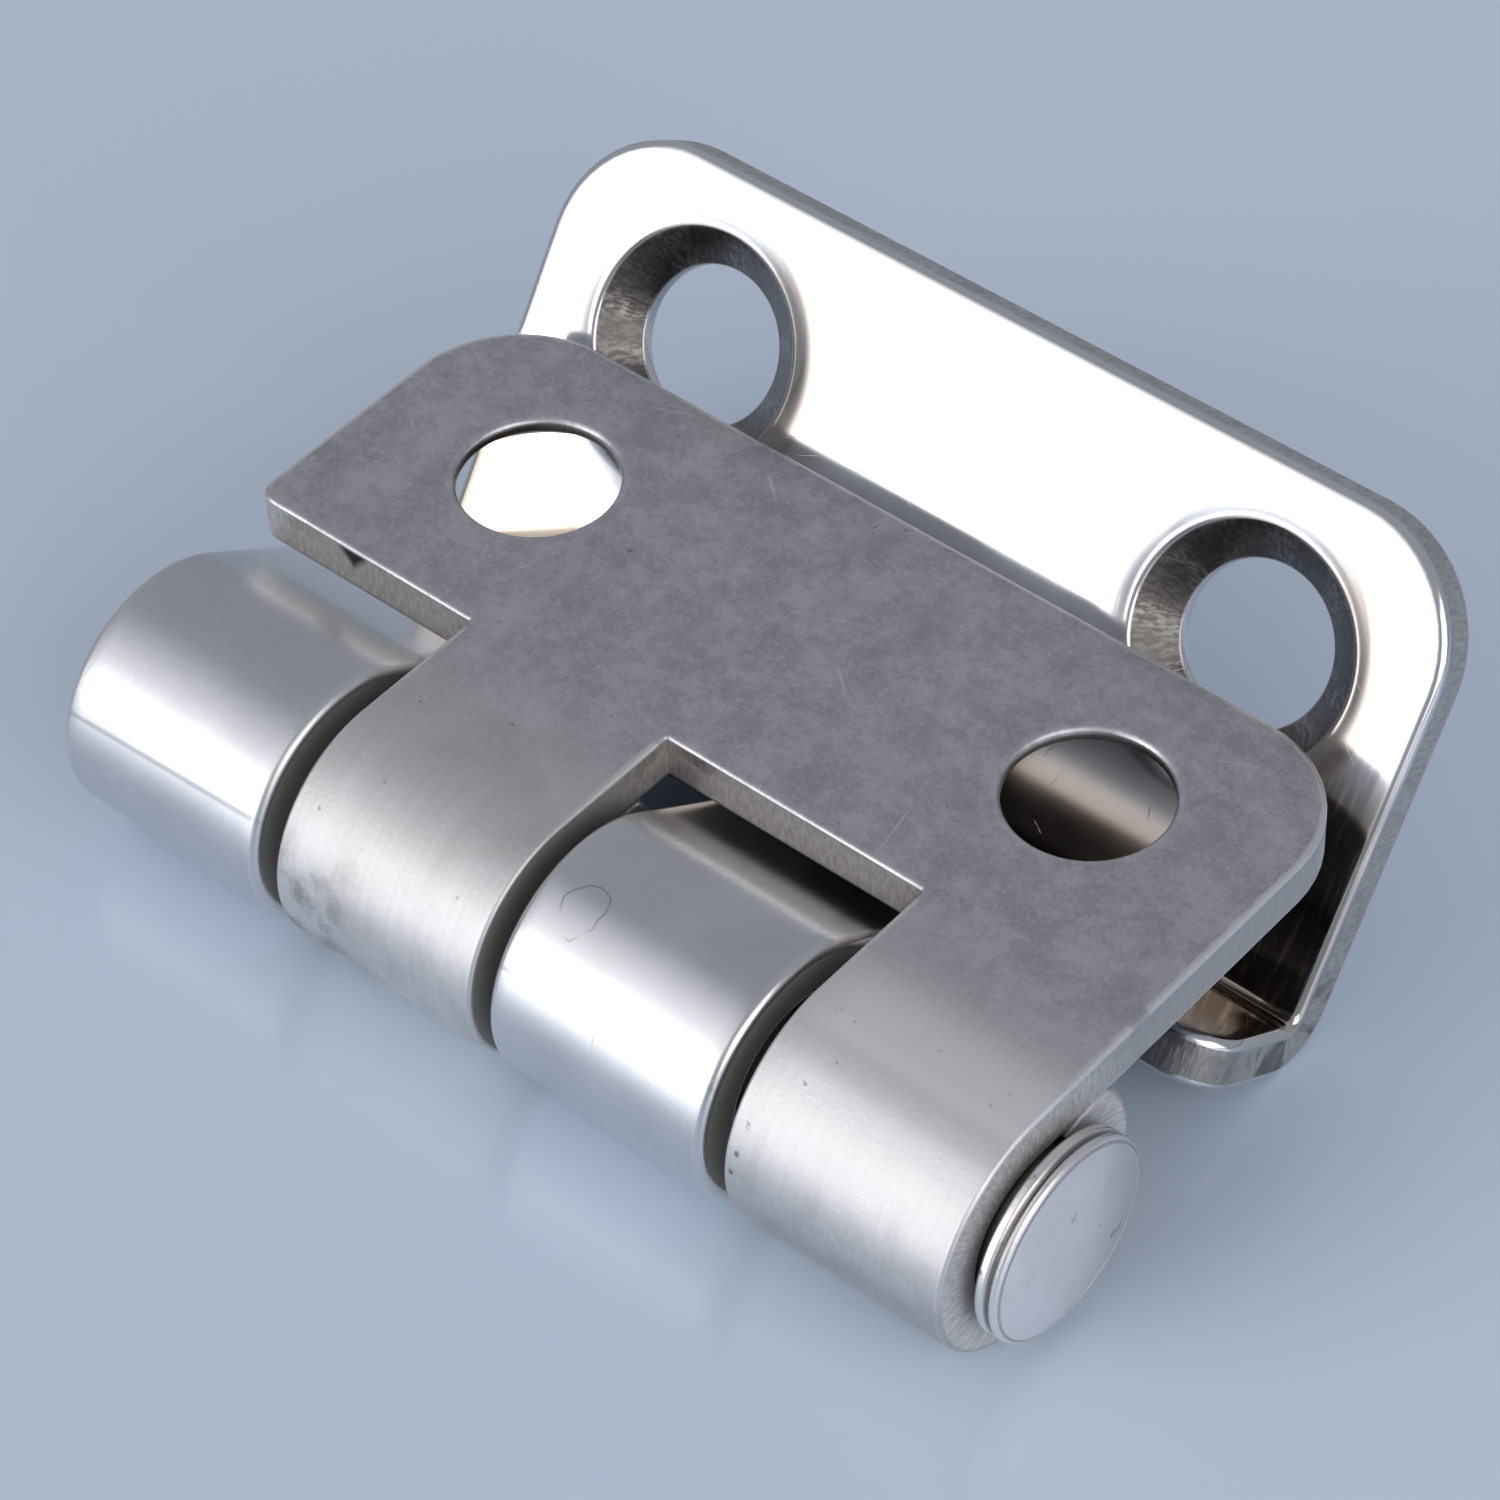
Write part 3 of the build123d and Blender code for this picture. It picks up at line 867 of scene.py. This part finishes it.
# Painted shade: the shank inside the knuckles darker, where it shows through the gaps.
behind = pin_axis.x / MM + head_back + 0.05
covered_painted_shade = x.ramp(behind + 0.1, behind) * x.ramp(left_end, left_end + 0.3)
color = satin_pin.tint(covered_painted_shade, color, (0.26, 0.245, 0.22))
rough = satin_pin.fade(tumble["Mottle"], 0.36, 0.28)
satin_pin.dress(color, rough, tumble["Speckle"], 0.000006)

# %% [markdown]
# ## Rolling the leaves
# Now the blanks meet the tree. The flat leaf has no bend, so its bend starts a metre away, past its end.
# The result is kept as a plain mesh and the modifier goes, because an export reads meshes only.

# %% Roll both leaves
NO_BEND = 1.0
for leaf, bend_at, slope, metal in (
    (flat_leaf, NO_BEND, flat_angle, dull), (angle_leaf, bend_start * MM, plate_angle, polished),
):
    values = {"Bend Start": bend_at, "Leaf Angle": slope, "Pin Axis": pin_axis, "Finish": metal.material}
    shape(leaf, leaf_tree, values)

# %% [markdown]
# ## The pin
# The real pin is turned on a lathe, with a domed head and a groove under its cap, and its other end is
# peened over once it is through the knuckles. A Screw modifier could turn the profile too. Here a
# Geometry Nodes lathe does it: a grid takes its points from the profile, one row after another, round
# the axis, and merging closes the seam and the two poles.

# %% Pin's profile
ROUND_STEPS = 8


def crown(tip, rim_radius, height, side, steps):
    """Points of a shallow dome, from its tip on the axis to its rim."""
    radius = (rim_radius**2 + height**2) / (2 * height)
    turn = math.asin(rim_radius / radius)
    angles = [turn * k / steps for k in range(steps + 1)]
    return [(tip - side * radius * (1 - math.cos(a)), radius * math.sin(a), 0) for a in angles]


def soften(path):
    """Rounds the corners of a profile. Each point is a place on the axis, a radius and a rounding."""
    soft = [path[0][:2]]
    for before, here, after in zip(path, path[1:], path[2:]):
        a, p, b = (Vector(point[:2]) for point in (before, here, after))
        if not here[2]:
            soft.append(tuple(p))
            continue
        one, two = (a - p).normalized(), (b - p).normalized()
        half = one.angle(two) / 2
        centre = p + (one + two).normalized() * (here[2] / math.sin(half))
        arm = p + one * (here[2] / math.tan(half)) - centre
        turn = -math.copysign(math.pi - 2 * half, one.cross(two))
        for k in range(ROUND_STEPS + 1):
            cosine, sine = math.cos(turn * k / ROUND_STEPS), math.sin(turn * k / ROUND_STEPS)
            turned = Vector((arm.x * cosine - arm.y * sine, arm.x * sine + arm.y * cosine))
            soft.append(tuple(centre + turned))
    return soft + [path[-1][:2]]


peen = crown(left_end - peen_crown, peen_radius, peen_crown, -1, 12)
dome = crown(head_front + head_dome, head_radius, head_dome, 1, 24)
profile = soften(peen[:-1] + [
    (left_end, peen_radius, 0.08), (left_end + peen_flare, pin_radius, 0.1), (head_back, pin_radius, 0.1),
    (head_back, head_radius, head_edge), (groove_at - head_groove, head_radius, head_edge),
    (groove_at, head_radius - head_groove, 0.03), (groove_at + head_groove, head_radius, 0.1),
    (head_front, head_radius, 2 * head_edge),
] + dome[-2::-1])
print("pin profile:", len(profile), "points")


# %% Lathe for the pin
def lathe_tree():
    """Turns a profile of points round the pin's axis: X along the axis, Y as the radius."""
    nodes = MeshNodes("turn_on_lathe", "Turned")
    given = nodes.inputs((
        ("Profile", "Geometry", None), ("Segments", "Int", 128), ("Pin Axis", "Vector", (0, 0, 0)),
        ("Finish", "Material", None),
    ))
    count = nodes.add("GeometryNodeAttributeDomainSize", component="MESH")
    points = nodes.feed(count, given["Profile"], result="Point Count")
    grid = nodes.add("GeometryNodeMeshGrid")
    nodes.connect(points, grid.inputs["Vertices X"])
    nodes.connect(given["Segments"] + 1.0, grid.inputs["Vertices Y"])
    share_along, share_round, _ = nodes.split(nodes.vector("ADD", nodes.place(), (0.5, 0.5, 0.0)))
    angle = share_round * -math.tau
    sample = nodes.add("GeometryNodeSampleIndex", data_type="FLOAT_VECTOR")
    nodes.connect(given["Profile"], sample.inputs["Geometry"])
    nodes.connect(nodes.place(), sample.inputs["Value"])
    nodes.connect((share_along * (points - 1.0)).calc("ROUND"), sample.inputs["Index"])
    x, radius, _ = nodes.split(Value(nodes, sample.outputs[0]))
    turned = nodes.join(x, radius * angle.calc("COSINE"), radius * angle.calc("SINE"))
    moved = nodes.move(Value(nodes, grid.outputs[0]), turned, given["Pin Axis"])
    merged = nodes.add("GeometryNodeMergeByDistance")
    merged.inputs["Distance"].default_value = 1e-6
    nodes.finish(nodes.feed(merged, moved), given["Finish"])
    return nodes.tree


# %% Turn the pin
pin_mesh = bpy.data.meshes.new("turned_pin")
pin_edges = [(k, k + 1) for k in range(len(profile) - 1)]
pin_mesh.from_pydata([(x * MM, radius * MM, 0) for x, radius in profile], pin_edges, [])
turned_pin = bpy.data.objects.new("turned_pin", pin_mesh)
scene.collection.objects.link(turned_pin)
shape(turned_pin, lathe_tree(), {"Segments": 160, "Pin Axis": pin_axis, "Finish": satin_pin.material})

# %% [markdown]
# ## What moves with what
# The flat leaf swings about the pin. The pin is held in the angle leaf, so it rides on that body. Each
# piece replaces one imported solid in the picture.

# %% Each piece rides on its body
for piece, body, node, slot in (
    (flat_leaf, "flat_leaf", "flat_leaf", "dull_steel"),
    (angle_leaf, "angle_leaf", "angle_leaf", "polished_steel"),
    (turned_pin, "angle_leaf", "hinge_pin", "pin_steel"),
):
    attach(piece, body)
    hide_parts(node)
    print(piece.name, "rides on", body)

# %% [markdown]
# ## Camera
# The photograph was taken from above the right front corner with a long lens. The place, the turn and
# the lens were fitted to the hinge's straight edges and holes, so they are odd numbers.

# %% Camera
camera_data = bpy.data.cameras.new("photo_camera")
camera_data.lens = 124.4
camera_data.sensor_width = 36.0
camera_data.clip_start = 0.01
camera = bpy.data.objects.new("photo_camera", camera_data)
camera.location = (0.08349, -0.09821, 0.13513)
camera.rotation_euler = [math.radians(angle) for angle in (45.073, 0.636, 40.331)]
scene.collection.objects.link(camera)
scene.camera = camera
print("camera stands", round(camera.location.length, 3), "m from the hinge")

# %% [markdown]
# ## Floor
# The hinge lies on a pale blue, slightly glossy table. One large square is enough, because its edge is
# far outside the picture.

# %% Floor
span = 3.0
floor_mesh = bpy.data.meshes.new("floor")
floor_corners = [(-span, -span, 0), (span, -span, 0), (span, span, 0), (-span, span, 0)]
floor_mesh.from_pydata(floor_corners, [], [(0, 1, 2, 3)])
floor = bpy.data.objects.new("floor", floor_mesh)
scene.collection.objects.link(floor)
floor_paint = bpy.data.materials.new("floor_paint")
floor_paint.use_nodes = True
floor_shader = floor_paint.node_tree.nodes["Principled BSDF"]
floor_shader.inputs["Base Color"].default_value = (0.70, 0.80, 0.94, 1)
floor_shader.inputs["Roughness"].default_value = 0.2
floor_mesh.materials.append(floor_paint)
print("floor is", 2 * span, "m wide")

# %% [markdown]
# ## Light
# Polished steel shows the room, so the room is drawn in the world's nodes: an even sky, a bright panel
# to the front left with a brighter core, and a dark seam at the horizon. Lamps alone would leave the
# mirror faces black between them. One softbox on the right fills the shaded walls.

# %% Room
world = bpy.data.worlds.new("studio")
scene.world = world
world.use_nodes = True
room = Finish(world.node_tree)
way = room.feed(room.add("ShaderNodeTexCoord"), result="Generated")
way_x, _, way_z = room.split(way)
panel_way = Vector((-0.47, -0.88, 0.0)).normalized()
front = room.vector("DOT_PRODUCT", way, panel_way, "Value")
wide = (front - 0.3).calc("MAXIMUM", 0.0) * 1.4
core = (front - 0.82).calc("MAXIMUM", 0.0) * 9.0
glow = (wide + core) * (way_x.ramp(-0.76, -0.55) * way_x.ramp(0.25, -0.3))
panel = room.add("ShaderNodeVectorMath", operation="SCALE")
room.connect(glow, panel.inputs["Scale"])
sky = room.vector("ADD", (0.33, 0.345, 0.38), room.feed(panel, (1.42, 1.41, 1.42)))
background = world.node_tree.nodes["Background"]
room.connect(sky, background.inputs["Color"])
room.connect(way_z.ramp(0.015, 0.04, 0.1, 1.0), background.inputs["Strength"])
print("room has", len(world.node_tree.nodes), "nodes")


# %% Softbox
def softbox(name, direction, distance, width, height, radiance):
    """A rectangular lamp that faces the hinge."""
    lamp = bpy.data.lights.new(name, "AREA")
    lamp.shape = "RECTANGLE"
    lamp.size, lamp.size_y = width, height
    lamp.energy = radiance * math.pi * width * height
    placed = bpy.data.objects.new(name, lamp)
    towards = Vector(direction).normalized()
    placed.location = towards * distance
    placed.rotation_euler = (-towards).to_track_quat("-Z", "Y").to_euler()
    scene.collection.objects.link(placed)
    print(name, "gives", round(lamp.energy, 2), "W")


softbox("right_fill", (0.85, -0.25, 0.45), 0.6, 0.6, 0.5, 1.4)
